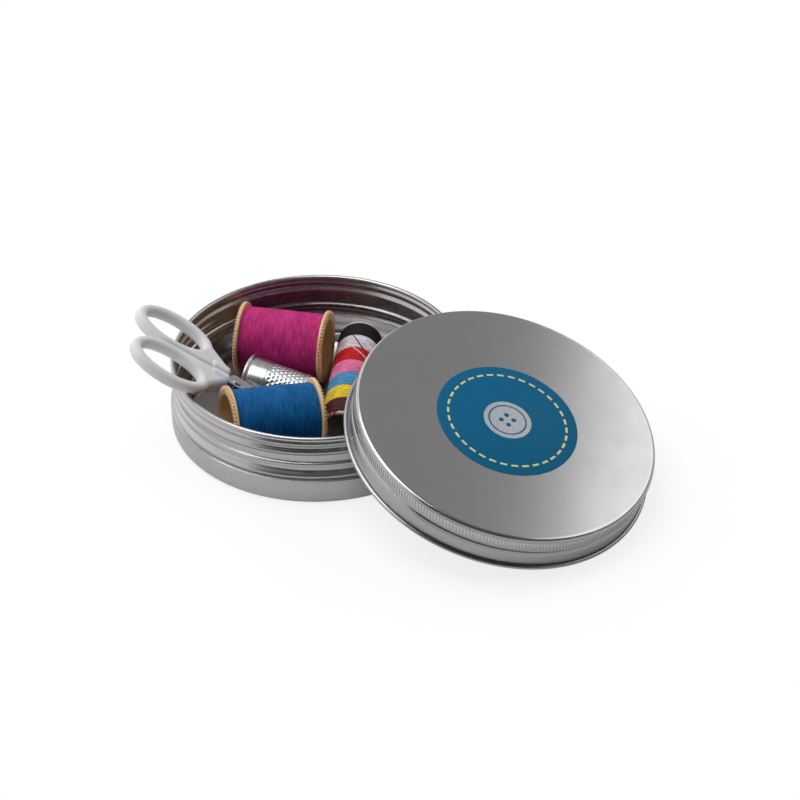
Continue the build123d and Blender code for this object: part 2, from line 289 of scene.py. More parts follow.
# ---- tin
tin = {
    "steps": 256,
    "sheet": 0.35,
    "neckRadius": 40.0,
    "threadHeight": 0.8,
    "threadPitch": 2.75,
    "threadHalfWidth": 1.35,
    "frontCrest": 16.4,        # height of the upper crest in front
    "threadTurns": 2.05,
    "threadStart": -235.0,     # degrees, at its lower end
    "threadFade": 24.0,
    "bandLow": 11.7,
    "bandHigh": 12.9,
    "bandRise": 0.75,
    "bandEdge": 0.55,          # width of the slope on each side of the band
    "shoulderHeight": 8.7,
    "shoulderRadius": 41.2,
    "shoulderHalf": 1.75,      # half its width along the neck
    "shoulderPower": 1.6,
    "stepHeight": 7.6,
    "wallRow": 4.0,            # height of a ring of points on the lower wall
    "beadRadius": 0.7,
    "beadOverhang": 0.2,
    "cornerRadius": 1.6,
    "footWidth": 2.0,
    "grooveWidth": 2.6,
    "grooveHeight": 0.4,
    "hub": 0.3,                # innermost ring of the bottom
    "bottomRings": (0.1, 0.35, 0.7),  # shares of the groove's inner radius
    "rowStep": 0.2,
}


def tinNeck(z):
    # outer radius of the neck without its thread
    shoulder = tin["shoulderRadius"] - tin["neckRadius"]
    off = min(1.0, abs(z - tin["shoulderHeight"]) / tin["shoulderHalf"])
    rise = shoulder * max(0.0, math.cos(math.pi / 2 * off)) ** tin["shoulderPower"]
    low = min(1.0, max(0.0, (z - tin["bandLow"]) / tin["bandEdge"] + 0.5))
    high = min(1.0, max(0.0, (tin["bandHigh"] - z) / tin["bandEdge"] + 0.5))
    flat = low * low * (3 - 2 * low) * high * high * (3 - 2 * high)
    return tin["neckRadius"] + max(rise, tin["bandRise"] * flat)


def tinThread(angle, z):
    # how far the thread stands out at an angle (radians) and a height
    front = math.radians(-90)
    start = math.radians(tin["threadStart"])
    rise = np.zeros_like(z)
    for turn in range(-3, 3):
        travel = angle + fullTurn * turn
        crest = tin["frontCrest"] + tin["threadPitch"] * (travel - front) / fullTurn
        along = travel - start
        whole = tin["threadTurns"] * fullTurn
        fade = np.clip(np.minimum(along, whole - along) / math.radians(tin["threadFade"]), 0, 1)
        off = np.clip(np.abs(z - crest) / tin["threadHalfWidth"], 0, 1)
        rise = np.maximum(rise, fade * fade * (3 - 2 * fade) * np.cos(math.pi / 2 * off) ** 2)
    return rise * tin["threadHeight"]


def makeTin():
    place0, height = turnedFrame("tin_body", (0, 0, 1))
    wall = (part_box("tin_body")[1].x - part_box("tin_body")[0].x) / 2 / mm
    sheet = tin["sheet"]
    bead = (tin["neckRadius"] + tin["beadOverhang"], height - tin["beadRadius"])
    foot = wall - tin["cornerRadius"]
    grooveOut = foot - tin["footWidth"]
    grooveIn = grooveOut - tin["grooveWidth"]
    lift = tin["grooveHeight"]
    bottom = [(0, 0), (tin["hub"], 0)] + [(grooveIn * share, 0) for share in tin["bottomRings"]]
    bottom += [(grooveIn, 0), (grooveIn + lift, lift), (grooveOut - lift, lift), (grooveOut, 0)]
    bottom += [(foot, 0)]
    firstRow = tin["stepHeight"] + 0.1
    rows = np.arange(firstRow, bead[1] - tin["beadRadius"] + 0.05, tin["rowStep"])
    neck = [(tinNeck(z), z) for z in rows]
    outside = bottom + arc((foot, tin["cornerRadius"]), tin["cornerRadius"], -80, 0, 9)
    outside += [(wall, tin["wallRow"]), (wall, tin["stepHeight"] - 0.45),
                (wall - 0.08, tin["stepHeight"] - 0.22)]
    rim = arc(bead, tin["beadRadius"], -106, 218, 26)
    inside = [(r - sheet, z) for r, z in reversed(neck)]
    inside += [(wall - sheet, tin["stepHeight"] - 0.7), (wall - sheet, tin["wallRow"])]
    inside += arc((foot, tin["cornerRadius"]), tin["cornerRadius"] - sheet, 0, -80, 9)
    inside += [(r, z + sheet) for r, z in reversed(bottom)]
    piece = turnProfile("tinBody", outside + neck + rim + inside, tin["steps"])
    points = readPoints(piece)
    radius = np.hypot(points[:, 0], points[:, 1])
    angle = np.arctan2(points[:, 1], points[:, 0])
    z = points[:, 2] / mm
    onNeck = (radius > (tin["neckRadius"] - 1.2) * mm) & (z < bead[1] - tin["beadRadius"] + 0.1)
    onNeck &= z > tin["stepHeight"]
    rise = np.where(onNeck, tinThread(angle, z), 0.0) * mm
    base = np.array([tinNeck(h) for h in z]) - tin["neckRadius"]
    rise = np.maximum(rise - np.where(onNeck, base, 0) * mm, 0)
    points[:, 0] += rise * np.cos(angle)
    points[:, 1] += rise * np.sin(angle)
    writePoints(piece, points)
    place(piece, place0)
    shineAround(piece, place0)
    metal = turnedMetal("tinMetal", (0.5, 0.49, 0.493), 0.28, 0.45)
    finishPiece(piece, "tin", metal, ["tin_body"], 50)
    print("tin done", len(piece.data.polygons))


# ---- lid
lid = {
    "steps": 288,
    "sheet": 0.35,
    "skirtRadius": 41.5,
    "cornerRadius": 0.95,
    "topRings": (0.3, 0.6, 0.85),  # shares of the flat top's radius
    "topFrom": 10.45,          # heights between which the straight brushing takes over
    "topTo": 10.75,
    "notches": (               # distance below the top, half width, depth
        (1.05, 0.28, 0.16),    # dark line between the rounded edge and the knurl
        (4.75, 0.6, 0.42),     # groove that takes the tin's thread
        (5.9, 0.3, 0.14),      # faint second line
    ),
    "knurlTop": 1.3,
    "knurlHeight": 2.1,
    "ribCount": 280,
    "ribDepth": 0.16,
    "ribThick": 0.3,
    "ribShare": 0.62,          # of the pitch
    "ribBevel": 0.12,
    "ribSlant": 14.0,
    "beadRadius": 0.55,
    "beadOverhang": 0.45,
    "rowStep": 0.17,
}


def skirtRadius(drop):
    # outer radius of the lid's side at a distance below its top
    radius = lid["skirtRadius"]
    for middle, half, depth in lid["notches"]:
        off = min(1.0, abs(drop - middle) / half)
        radius -= depth * math.cos(math.pi / 2 * off) ** 2
    return radius


def makeLid():
    place0, height = turnedFrame("lid_shell", (0, 0, 1))
    sheet = lid["sheet"]
    corner = lid["cornerRadius"]
    outer = lid["skirtRadius"]
    flat = outer - corner
    top = [(0, height)] + [(flat * share, height) for share in lid["topRings"]] + [(flat - 0.4, height)]
    edge = arc((flat, height - corner), corner, 90, 8, 9)
    drops = np.arange(corner, height - 2 * lid["beadRadius"] - 0.1, lid["rowStep"])
    side = [(skirtRadius(d), height - d) for d in drops]
    bead = (outer + lid["beadOverhang"], lid["beadRadius"])
    rim = arc(bead, lid["beadRadius"], 145, -205, 24)
    inside = [(skirtRadius(d) - sheet, height - d) for d in reversed(drops) if d > corner + 0.3]
    inside += arc((flat, height - corner), corner - sheet, 0, 90, 6)
    inside += [(flat * lid["topRings"][1], height - sheet), (0, height - sheet)]
    piece = turnProfile("lidShell", top + edge + side + rim + inside, lid["steps"])
    place(piece, place0)
    shineAround(piece, place0)
    # the top is brushed in straight lines that run across the picture
    normals = np.array([v.normal for v in piece.data.vertices])
    axis = place0.col[2].to_3d()
    onTop = normals @ np.array(axis) > 0.9
    layer = piece.data.attributes["shine"]
    shine = np.zeros(len(onTop) * 3, np.float32)
    layer.data.foreach_get("vector", shine)
    shine = shine.reshape(-1, 3)
    shine[onTop] = np.array(axis.cross(Vector((1, 0, 0))).normalized())
    keepVector(piece, "shine", shine)
    finishPiece(piece, "lid", lidMetal(place0), ["lid_shell"], 45)
    makeKnurl(place0, height)
    print("lid done", len(piece.data.polygons))
    return place0, height


def lidMetal(place0):
    # brushed in straight lines on top, turned marks on the side; the side's colour is darkened as painted
    # shade
    color = (0.6, 0.6, 0.605)
    material, tree, shader = newMaterial("lidMetal", color, 0.3, Metallic=1.0)
    local = localCoordinates(tree)
    level = place0.to_3x3().inverted() @ Vector((1, 0, 0))
    turn = math.atan2(level.y, level.x)
    mapped = addNode(tree, "ShaderNodeMapping", {"Vector": local, "Rotation": (0, 0, -turn)})
    strokes = noise(tree, scaled(tree, mapped.outputs[0], (0.035, 1, 1)), 4300, 4.0, 0.72)
    fine = noise(tree, scaled(tree, mapped.outputs[0], (0.012, 1, 1)), 11000, 3.0, 0.6)
    around = noise(tree, turnedVector(tree, 0.0016), 5200, 4.0, 0.7)
    split = addNode(tree, "ShaderNodeSeparateXYZ", {0: local}).outputs
    isTop = ranged(tree, split[2], 0, 1, lid["topFrom"] * mm, lid["topTo"] * mm)
    straight = blended(tree, strokes, fine, 0.6)
    both = addNode(tree, "ShaderNodeMix", {0: isTop, 2: around, 3: straight}).outputs[0]
    smears = noise(tree, local, 55, 4.0, 0.6)
    rough = math2(tree, "ADD", ranged(tree, both, 0.17, 0.27), ranged(tree, smears, -0.02, 0.03))
    tree.links.new(rough, shader.inputs["Roughness"])
    dark = tuple(c * 0.84 for c in color)
    tone = mixColor(tree, ranged(tree, both, 0, 1), dark, color)
    # painted shade: the lid's side is painted darker than its top
    paintedSideShade = mixColor(tree, isTop, (0.76, 0.75, 0.755), (1, 1, 1))
    tree.links.new(mixColor(tree, 1.0, tone, paintedSideShade, "MULTIPLY"), shader.inputs["Base Color"])
    tree.links.new(bump(tree, both, 0.3, 0.006).outputs[0], shader.inputs["Normal"])
    shineTangent(tree, shader, 0.95)
    return material


def makeKnurl(place0, height):
    # one slanted rib, repeated round the band
    clearSelection()
    middle = height - lid["knurlTop"] - lid["knurlHeight"] / 2
    pitch = fullTurn * lid["skirtRadius"] / lid["ribCount"]
    bpy.ops.mesh.primitive_cube_add(size=1, location=(lid["skirtRadius"] * mm, 0, middle * mm))
    piece = bpy.context.object
    piece.name = "lidKnurl"
    piece.scale = (lid["ribThick"] * mm, pitch * lid["ribShare"] * mm, lid["knurlHeight"] * mm)
    piece.rotation_euler = (math.radians(lid["ribSlant"]), 0, 0)
    bpy.ops.object.transform_apply(location=True, rotation=True, scale=True)
    bevelActive(lid["ribBevel"])
    points = readPoints(piece)
    points[:, 0] += (lid["ribDepth"] - lid["ribThick"] / 2) * mm
    writePoints(piece, points)
    repeatAround(piece, lid["ribCount"])
    place(piece, place0)
    shineAround(piece, place0)
    metal = turnedMetal("knurlMetal", (0.55, 0.55, 0.55), 0.25, 0.2)
    finishPiece(piece, "lid", metal, (), 40)


# ---- label: a plain blue disc with a ring of stitches and a button
label = {
    "radius": 19.5,
    "thickness": 0.1,
    "stitchRing": 16.4,
    "stitchCount": 34,
    "stitchSize": (0.62, 1.9, 0.06),
    "stitchBevel": 0.028,
    "discBevel": 0.03,
    "buttonRadius": 6.6,
    "buttonRim": 1.25,
    "buttonGap": 0.45,         # between the rim and the disc inside it
    "holeRing": 1.75,
    "holeRadius": 0.72,
    "printRise": 0.03,
}


def addDisc(name, radius, low, high, vertices=96, location=(0, 0), edge=0.0):
    # flat disc in its own frame, between two heights, in millimetres
    clearSelection()
    where = (location[0] * mm, location[1] * mm, (low + high) / 2 * mm)
    bpy.ops.mesh.primitive_cylinder_add(vertices=vertices, radius=radius * mm,
                                        depth=(high - low) * mm, location=where)
    piece = bpy.context.object
    piece.name = name
    bpy.ops.object.transform_apply(location=True, rotation=True, scale=True)
    if edge:
        bevelActive(edge)
    return piece


def joinPieces(pieces, name):
    clearSelection()
    for piece in pieces:
        piece.select_set(True)
    bpy.context.view_layer.objects.active = pieces[0]
    bpy.ops.object.join()
    bpy.context.object.name = name
    return bpy.context.object


def printedInk(name, color, roughness, metallic=0.0):
    # ink with a slight mottle and the sheet's fine roll marks
    material, tree, shader = newMaterial(name, color, roughness, Metallic=metallic)
    shader.inputs["Specular IOR Level"].default_value = 0.12
    local = localCoordinates(tree)
    mottle = noise(tree, local, 900, 4.0, 0.65)
    grain = noise(tree, scaled(tree, local, (0.05, 1, 1)), 5200, 3.0, 0.6)
    dark = tuple(c * 0.84 for c in color)
    light = tuple(min(1.0, c * 1.08) for c in color)
    tone = blended(tree, mottle, grain, 0.5)
    tree.links.new(mixColor(tree, ranged(tree, tone, 0, 1, 0.38, 0.62), dark, light),
                   shader.inputs["Base Color"])
    tree.links.new(ranged(tree, mottle, roughness - 0.05, roughness + 0.08), shader.inputs["Roughness"])
    tree.links.new(bump(tree, grain, 0.25, 0.004).outputs[0], shader.inputs["Normal"])
    return material


def makeLabel(place0, height):
    top = height + label["thickness"]
    disc = addDisc("labelDisc", label["radius"], height - 0.02, top, 160, edge=label["discBevel"])
    place(disc, place0)
    finishPiece(disc, "lid", printedInk("labelBlue", (0.0, 0.13, 0.27), 0.46),
                ["lid_label"])
    high = top + label["printRise"]
    clearSelection()
    bpy.ops.mesh.primitive_cube_add(size=1, location=(label["stitchRing"] * mm, 0, high * mm))
    stitches = bpy.context.object
    stitches.scale = tuple(s * mm for s in label["stitchSize"])
    bpy.ops.object.transform_apply(location=True, rotation=True, scale=True)
    bevelActive(label["stitchBevel"])
    repeatAround(stitches, label["stitchCount"])
    stitches.name = "labelStitches"
    place(stitches, place0)
    finishPiece(stitches, "lid", printedInk("labelYellow", (0.78, 0.74, 0.34), 0.42))
    radius = label["buttonRadius"]
    inner = radius - label["buttonRim"]
    low = top - 0.01
    ring = [(inner, low), (radius, low), (radius, high), (inner, high), (inner, low)]
    rim = turnProfile("buttonRim", ring, 96)
    disc = addDisc("buttonDisc", inner - label["buttonGap"], low, high, 72)
    for number in range(4):
        turn = math.radians(45 + 90 * number)
        spot = (label["holeRing"] * math.cos(turn), label["holeRing"] * math.sin(turn))
        hole = addDisc("buttonHole", label["holeRadius"], top - 0.2, high + 0.2, 32, spot)
        applyModifier(disc, "BOOLEAN", operation="DIFFERENCE", object=hole, solver="EXACT")
        bpy.data.objects.remove(hole)
    button = joinPieces([rim, disc], "labelButton")
    place(button, place0)
    finishPiece(button, "lid", printedInk("labelSilver", (0.5, 0.53, 0.55), 0.34, 0.6))
    print("label done")


# ---- spools
spool = {
    "steps": 360,
    "flangeRadius": 10.4,
    "flangeThickness": 1.2,
    "barrelRadius": 8.6,
    "boreRadius": 7.7,
    "boreFlare": 0.7,
    "edgeRound": 0.36,
    "innerRound": 0.3,         # of the flange's inner edge
    "barrelRound": 0.1,
    "faceRow": 0.95,           # a ring of points on the end face, this far inside its edge
    "boreRow": 4.0,            # depth of a ring of points in the bore
    "toothCount": 60,
    "toothDepth": 0.52,
    "toothLayer": 0.58,
    "toothStep": 0.04,
    "toothGap": 0.4,           # level of the wave where a gap starts, and its slope
    "toothSlope": 0.25,
}


def makeSpool(name, node, body, towards, material):
    place0, length = turnedFrame(node, towards)
    thick = spool["flangeThickness"]
    outer = spool["flangeRadius"]
    edge = spool["edgeRound"]
    bore = spool["boreRadius"]
    flare = spool["boreFlare"]
    inner = spool["innerRound"]
    barrel = spool["barrelRadius"]
    corner = spool["barrelRound"]
    layer = spool["toothLayer"]
    end = [(bore, length / 2), (bore, spool["boreRow"])]
    end += arc((bore + flare, flare), flare, 180, 270, 7)
    end += [(outer - spool["faceRow"], 0)] + arc((outer - edge, edge), edge, -90, 0, 6)
    end += [(outer, layer), (outer, layer + spool["toothStep"])]
    end += arc((outer - inner, thick - inner), inner, 0, 90, 5)
    end += [(barrel + corner, thick), (barrel, thick + corner), (barrel, length / 2)]
    other = [(r, length - z) for r, z in reversed(end)]
    piece = turnProfile(name, end + other[1:], spool["steps"])
    points = readPoints(piece)
    radius = np.hypot(points[:, 0], points[:, 1])
    angle = np.arctan2(points[:, 1], points[:, 0])
    deep = np.minimum(points[:, 2], length * mm - points[:, 2]) / mm
    wave = 0.5 + 0.5 * np.cos(spool["toothCount"] * angle)
    wave = np.clip((wave - spool["toothGap"]) / spool["toothSlope"], 0, 1)
    toothed = (radius > (outer - edge - 0.05) * mm) & (deep < layer + 0.01)
    cut = np.where(toothed, wave * spool["toothDepth"] * mm, 0.0)
    points[:, 0] -= cut * np.cos(angle)
    points[:, 1] -= cut * np.sin(angle)
    writePoints(piece, points)
    place(piece, place0)
    finishPiece(piece, body, material, [node], 35)
    print(name, "done", len(piece.data.polygons))


def spoolMaterial():
    # pale moulded spool with a warm, woody mottle
    material, tree, shader = newMaterial("spoolBeige", (0.74, 0.47, 0.235), 0.5)
    shader.inputs["Subsurface Weight"].default_value = 0.12
    shader.inputs["Subsurface Scale"].default_value = 0.002
    shader.inputs["Subsurface Radius"].default_value = (1.0, 0.5, 0.25)
    local = localCoordinates(tree)
    blotch = noise(tree, local, 160, 4.0, 0.6)
    grain = noise(tree, scaled(tree, local, (1, 1, 0.12)), 2600, 4.0, 0.65)
    tone = blended(tree, blotch, grain, 0.6)
    color = mixColor(tree, ranged(tree, tone, 0, 1, 0.36, 0.62), (0.76, 0.49, 0.23), (0.88, 0.65, 0.38))
    tree.links.new(color, shader.inputs["Base Color"])
    tree.links.new(ranged(tree, grain, 0.42, 0.6), shader.inputs["Roughness"])
    tree.links.new(bump(tree, grain, 0.35, 0.02).outputs[0], shader.inputs["Normal"])
    return material


# ---- wound thread
wound = {
    "rowsPerTurn": 4,
    "spoolSteps": 144,
    "bandSteps": 120,
    "spoolPitch": 0.27,
    "bandPitch": 0.3,
    "spoolGap": 0.05,          # between the barrel and the winding's inside
    "spoolOuter": 9.1,
    "spoolCrown": 0.12,
    "bandCrown": 0.05,
    "bandSeed": 20,
    "strandDepth": 0.055,
    "wander": 0.02,
    "endDrop": 0.12,           # how far the last turns fall off
    "endWidth": 0.5,
}


def threadMaterial(name, color, glow=0.04):
    # turns that differ a little in tone, with a soft lustre along the strand
    material, tree, shader = newMaterial(name, color, 0.62)
    shader.inputs["Sheen Weight"].default_value = glow
    shader.inputs["Sheen Roughness"].default_value = 0.4
    shader.inputs["Specular IOR Level"].default_value = 0.16
    local = localCoordinates(tree)
    turns = noise(tree, turnedVector(tree, 0.0009), 3300, 3.0, 0.6)
    patches = noise(tree, scaled(tree, local, (1, 1, 2.2)), 170, 3.0, 0.55)
    fibres = noise(tree, local, 9000, 3.0, 0.6)
    tone = blended(tree, turns, patches, 0.72)
    dark = tuple(c * 0.58 for c in color)
    light = tuple(min(1.0, c * 1.26 + 0.003) for c in color)
    tree.links.new(mixColor(tree, ranged(tree, tone, 0, 1, 0.38, 0.62), dark, light),
                   shader.inputs["Base Color"])
    tree.links.new(bump(tree, fibres, 0.4, 0.02).outputs[0], shader.inputs["Normal"])
    return material


def makeWound(name, node, body, towards, inner, outer, crown, pitch, steps, material, seed):
    # a closed sleeve whose outside rows follow the strand round and along
    rng = np.random.default_rng(seed)
    place0, length = turnedFrame(node, towards)
    turns = int(round(length / pitch))
    pitch = length / turns
    perTurn = wound["rowsPerTurn"]
    rows = [(outer, k * pitch / perTurn) for k in range(turns * perTurn + 1)]
    points = [(inner, 0)] + rows + [(inner, length), (inner, length / 2), (inner, 0)]
    piece = turnProfile(name, points, steps)
    points = readPoints(piece)
    radius = np.hypot(points[:, 0], points[:, 1])
    angle = np.arctan2(points[:, 1], points[:, 0])
    around = (angle + math.pi / 2 + 1e-4) % fullTurn / fullTurn
    z = points[:, 2] / mm
    outside = radius > (inner + outer) / 2 * mm
    row = np.rint(z / pitch * perTurn).astype(int)
    turn = np.clip(row // perTurn, 0, turns - 1)
    phase = (row % perTurn) / perTurn
    swell = np.sqrt(np.clip(1 - (2 * phase - 1) ** 2, 0, 1))
    reach = outer + crown * (1 - (2 * z / length - 1) ** 2)
    reach -= wound["strandDepth"] * (1 - swell)
    lift = rng.uniform(-1, 1, turns)
    swing = rng.uniform(-1, 1, turns)
    start = rng.uniform(0, 1, turns)
    reach += wound["wander"] * (lift[turn] + swing[turn] * np.cos(fullTurn * (around + start[turn]))) / 2
    fromEnd = np.minimum(z, length - z)
    reach -= wound["endDrop"] * np.clip(1 - fromEnd / wound["endWidth"], 0, 1) ** 2
    reach = np.where(outside, reach, radius / mm)
    drift = pitch * (around - 0.5) * np.clip(fromEnd / (2 * pitch), 0, 1)
    points[:, 0] = reach * np.cos(angle) * mm
    points[:, 1] = reach * np.sin(angle) * mm
    points[:, 2] = np.where(outside, z + drift, z) * mm
    writePoints(piece, points)
    place(piece, place0)
    finishPiece(piece, body, material, [node], 60)
    return place0, length


def makeStrand(name, body, material, place0, route, radius):
    # a thread end laid over the turns: (distance along, angle from the top, radius)
    clearSelection()
    bpy.ops.curve.primitive_nurbs_path_add(location=(0, 0, 0))
    strand = bpy.context.object
    strand.name = name
    spline = strand.data.splines[0]
    for point, (along, turn, reach) in zip(spline.points, route):
        a = math.radians(90 - turn)
        point.co = (reach * math.cos(a) * mm, reach * math.sin(a) * mm, along * mm, 1)
    spline.order_u = 3
    spline.use_endpoint_u = True
    strand.data.bevel_depth = radius * mm
    strand.data.bevel_resolution = 2
    strand.data.resolution_u = 14
    strand.data.use_fill_caps = True
    bpy.ops.object.convert(target="MESH")
    place(strand, place0)
    finishPiece(strand, body, material)


# ---- thimble
cap = {
    "steps": 300,
    "mouth": 7.2,
    "end": 6.0,
    "wall": 0.42,
    "bead": 0.56,
    "crease": 0.24,            # groove beside the rolled mouth
    "creaseWidth": 0.5,
    "dome": 1.9,
    "domeRows": 41,
    "dimpleStart": 7.2,
    "dimpleCount": 30,
    "dimpleRow": 1.2,
    "dimpleDepth": 0.17,
    "dimpleSize": 0.8,
    "dimpleSteep": 1.7,        # steeper sides leave a flat floor
}


def dimpleField(across, along):
    # share of the full depth, from places counted in dimples both ways
    u = np.abs(across - np.floor(across) - 0.5) * 2
    v = np.abs(along - np.floor(along) - 0.5) * 2
    hollow = np.clip(1 - (u ** 3 + v ** 3) ** (1 / 3) / cap["dimpleSize"], 0, 1)
    return np.minimum(hollow * cap["dimpleSteep"], 1.0)


def makeThimble():
    place0, length = turnedFrame("thimble", (1, -0.35, 0))
    mouth = cap["mouth"]
    end = cap["end"]
    bead = cap["bead"]
    wallTop = length - cap["dome"]
    rows = np.arange(2 * bead, wallTop, 0.2)
    side = []
    for z in rows:
        share = (z - bead) / (wallTop - bead)
        step = 0.1 * min(1.0, max(0.0, (cap["dimpleStart"] - 0.6 - z) / 0.3))
        crease = cap["crease"] * max(0.0, 1 - (z - 2 * bead) / cap["creaseWidth"])
        side.append((mouth + (end - mouth) * share - 0.05 + step * 0.5 - crease, z))
    dome = [(end * math.cos(t) ** 0.72 if math.cos(t) > 0 else 0.0, wallTop + cap["dome"] * math.sin(t))
            for t in np.linspace(0, math.pi / 2, cap["domeRows"])]
    rim = arc((mouth, bead), bead, 215, 425, 16)
    inside = [(r - cap["wall"], z) for r, z in reversed(side[::6])]
    innerDome = [(max(r - cap["wall"], 0), z - cap["wall"]) for r, z in reversed(dome[::8])]
    points = rim + side + dome + innerDome + inside + [rim[0]]
    piece = turnProfile("thimbleCap", points, cap["steps"])
    points = readPoints(piece)
    radius = np.hypot(points[:, 0], points[:, 1]) / mm
    angle = np.arctan2(points[:, 1], points[:, 0])
    z = points[:, 2] / mm
    normals = np.array([v.normal for v in piece.data.vertices])
    outward = normals[:, 0] * np.cos(angle) + normals[:, 1] * np.sin(angle)
    line = (z - cap["dimpleStart"]) / cap["dimpleRow"]
    number = np.floor(line)
    across = angle / fullTurn * cap["dimpleCount"] + 0.5 * (number % 2)
    onSide = (outward > 0.2) & (number >= 0) & (z < wallTop + 0.3)
    depth = np.where(onSide, dimpleField(across, line), 0.0)
    ring = radius / cap["dimpleRow"]
    count = np.maximum(np.round(fullTurn * (np.floor(ring) + 0.5)), 1)
    onTop = (z > wallTop + 0.9) & (normals[:, 2] > 0.3)
    depth = np.where(onTop, dimpleField(angle / fullTurn * count, ring), depth) * cap["dimpleDepth"] * mm
    points -= normals * depth[:, None]
    writePoints(piece, points)
    place(piece, place0)
    shineAround(piece, place0)
    metal = turnedMetal("thimbleMetal", (0.62, 0.63, 0.65), 0.3, 0.25, 3000, 0.004)
    finishPiece(piece, "thimble", metal, ["thimble"], 50)
    print("thimble done", len(piece.data.polygons))


# ---- card tube with its seven threads
tube = {
    "steps": 120,
    "radius": 6.0,
    "wall": 0.7,
    "edge": 0.12,
    "bandInner": 6.05,
    "bandOuter": 6.34,
    "strandRadius": 0.17,
    "colors": {
        "black": (0.012, 0.009, 0.011),
        "white": (0.76, 0.68, 0.75),
        "red": (0.60, 0.011, 0.016),
        "pink": (0.77, 0.19, 0.37),
        "sky": (0.075, 0.28, 0.52),
        "yellow": (0.81, 0.60, 0.033),
        "brown": (0.085, 0.02, 0.02),
    },
}


def makeTube():
    place0, length = turnedFrame("card_tube", (0, -1, 0))
    inner = tube["radius"] - tube["wall"]
    outer = tube["radius"]
    edge = tube["edge"]
    points = [(inner, edge), (inner + edge, 0), (outer - edge, 0), (outer, edge), (outer, length / 2),
              (outer, length - edge), (outer - edge, length), (inner + edge, length),
              (inner, length - edge), (inner, length / 2), (inner, edge)]
    piece = turnProfile("cardTube", points, tube["steps"])
    place(piece, place0)
    material, tree, shader = newMaterial("cardStock", (0.62, 0.58, 0.55), 0.8)
    fibres = noise(tree, scaled(tree, localCoordinates(tree), (1, 1, 0.35)), 2200, 5.0, 0.7)
    plies = noise(tree, turnedVector(tree, 0.0002), 7000, 2.0, 0.5)
    tone = blended(tree, fibres, plies, 0.6)
    tree.links.new(mixColor(tree, ranged(tree, tone, 0, 1), (0.48, 0.43, 0.40), (0.70, 0.66, 0.63)),
                   shader.inputs["Base Color"])
    tree.links.new(bump(tree, tone, 0.5, 0.03).outputs[0], shader.inputs["Normal"])
    finishPiece(piece, "thread_tube", material, ["card_tube"], 40)
    materials = {}
    for number, (colour, shade) in enumerate(tube["colors"].items()):
        materials[colour] = threadMaterial(colour + "Thread", shade)
        makeWound(colour + "Winding", colour + "_winding", "thread_tube",
                  (0, -1, 0), tube["bandInner"], tube["bandOuter"], wound["bandCrown"],
                  wound["bandPitch"], wound["bandSteps"], materials[colour], wound["bandSeed"] + number)
    over = tube["bandOuter"] + 0.03 + tube["strandRadius"] * 0.8
    lines = (
        ("blackCrossing", "black", [(6.6, -16, over - 0.25), (9.5, -3, over), (13.0, 14, over + 0.03),
                                    (16.5, 38, over), (19.6, 66, over - 0.2)]),
        ("whiteCrossing", "white", [(12.6, -16, over - 0.25), (14.2, -4, over), (16.0, 12, over + 0.03),
                                    (17.8, 33, over), (19.8, 56, over - 0.2)]),
        ("redEnd", "red", [(length - 1.6, -24, over - 0.2), (length - 0.3, -29, over + 0.1),
                           (length + 0.25, -33, 5.75), (length - 0.4, -38, 5.0), (length - 2.6, -44, 4.7)]),
        ("redLoop", "red", [(length - 1.7, -52, over - 0.2), (length - 0.8, -44, over + 0.25),
                            (length - 1.1, -32, over + 0.3), (length - 0.4, -20, over + 0.2),
                            (length - 1.8, -8, over - 0.2)]),
        ("whiteEnd", "white", [(length - 1.5, -38, over - 0.2), (length - 0.2, -42, over + 0.1),
                               (length + 0.3, -47, 5.7), (length - 0.5, -52, 5.0),
                               (length - 3.0, -57, 4.6)]),
        ("blackEnd", "black", [(length - 2.2, -58, over - 0.2), (length - 0.9, -52, over + 0.25),
                               (length - 0.2, -60, over + 0.1), (length + 0.25, -64, 5.7),
                               (length - 2.0, -70, 4.8)]),
        ("brownEnd", "brown", [(length - 1.1, -12, over - 0.2), (length - 0.2, -16, over + 0.12),
                               (length + 0.25, -21, 5.8), (length - 0.3, -28, 5.1),
                               (length - 2.8, -34, 4.8)]),
    )
    for name, colour, route in lines:
        makeStrand(name, "thread_tube", materials[colour], place0, route,
                   tube["strandRadius"])
    print("tube done")


# ---- scissors
shears = {
    "voxel": 0.17,
    "rounding": 24,
    "fuller": 0.45,            # how far the loops swell where nothing is near
    "keepClear": 0.15,
    "swellOver": 1.3,
    "blockEnd": 8.4,           # end of the thick block, from the rivet
    "blockRamp": 0.8,
    "blockDeeper": 1.3,
    "bladeSlope": 0.605,       # radians, about the blades' lean
}


def handleMaterial():
    # white moulded plastic, a little translucent, satin
    material, tree, shader = newMaterial("handleWhite", (0.76, 0.76, 0.80), 0.42)
    shader.inputs["Subsurface Weight"].default_value = 0.2
    shader.inputs["Subsurface Scale"].default_value = 0.0015
    shader.inputs["Subsurface Radius"].default_value = (1.0, 0.9, 0.85)
    local = localCoordinates(tree)
    grain = noise(tree, local, 2400, 3.0, 0.6)
    cloud = noise(tree, local, 130, 3.0, 0.5)
    tree.links.new(mixColor(tree, ranged(tree, cloud, 0, 1), (0.76, 0.755, 0.78), (0.83, 0.825, 0.84)),
                   shader.inputs["Base Color"])
    tree.links.new(ranged(tree, grain, 0.36, 0.5), shader.inputs["Roughness"])
    tree.links.new(bump(tree, grain, 0.3, 0.01).outputs[0], shader.inputs["Normal"])
    return material


def searchTree(node):
    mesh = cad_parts[node].data
    return BVHTree.FromPolygons([v.co for v in mesh.vertices], [tuple(p.vertices) for p in mesh.polygons])


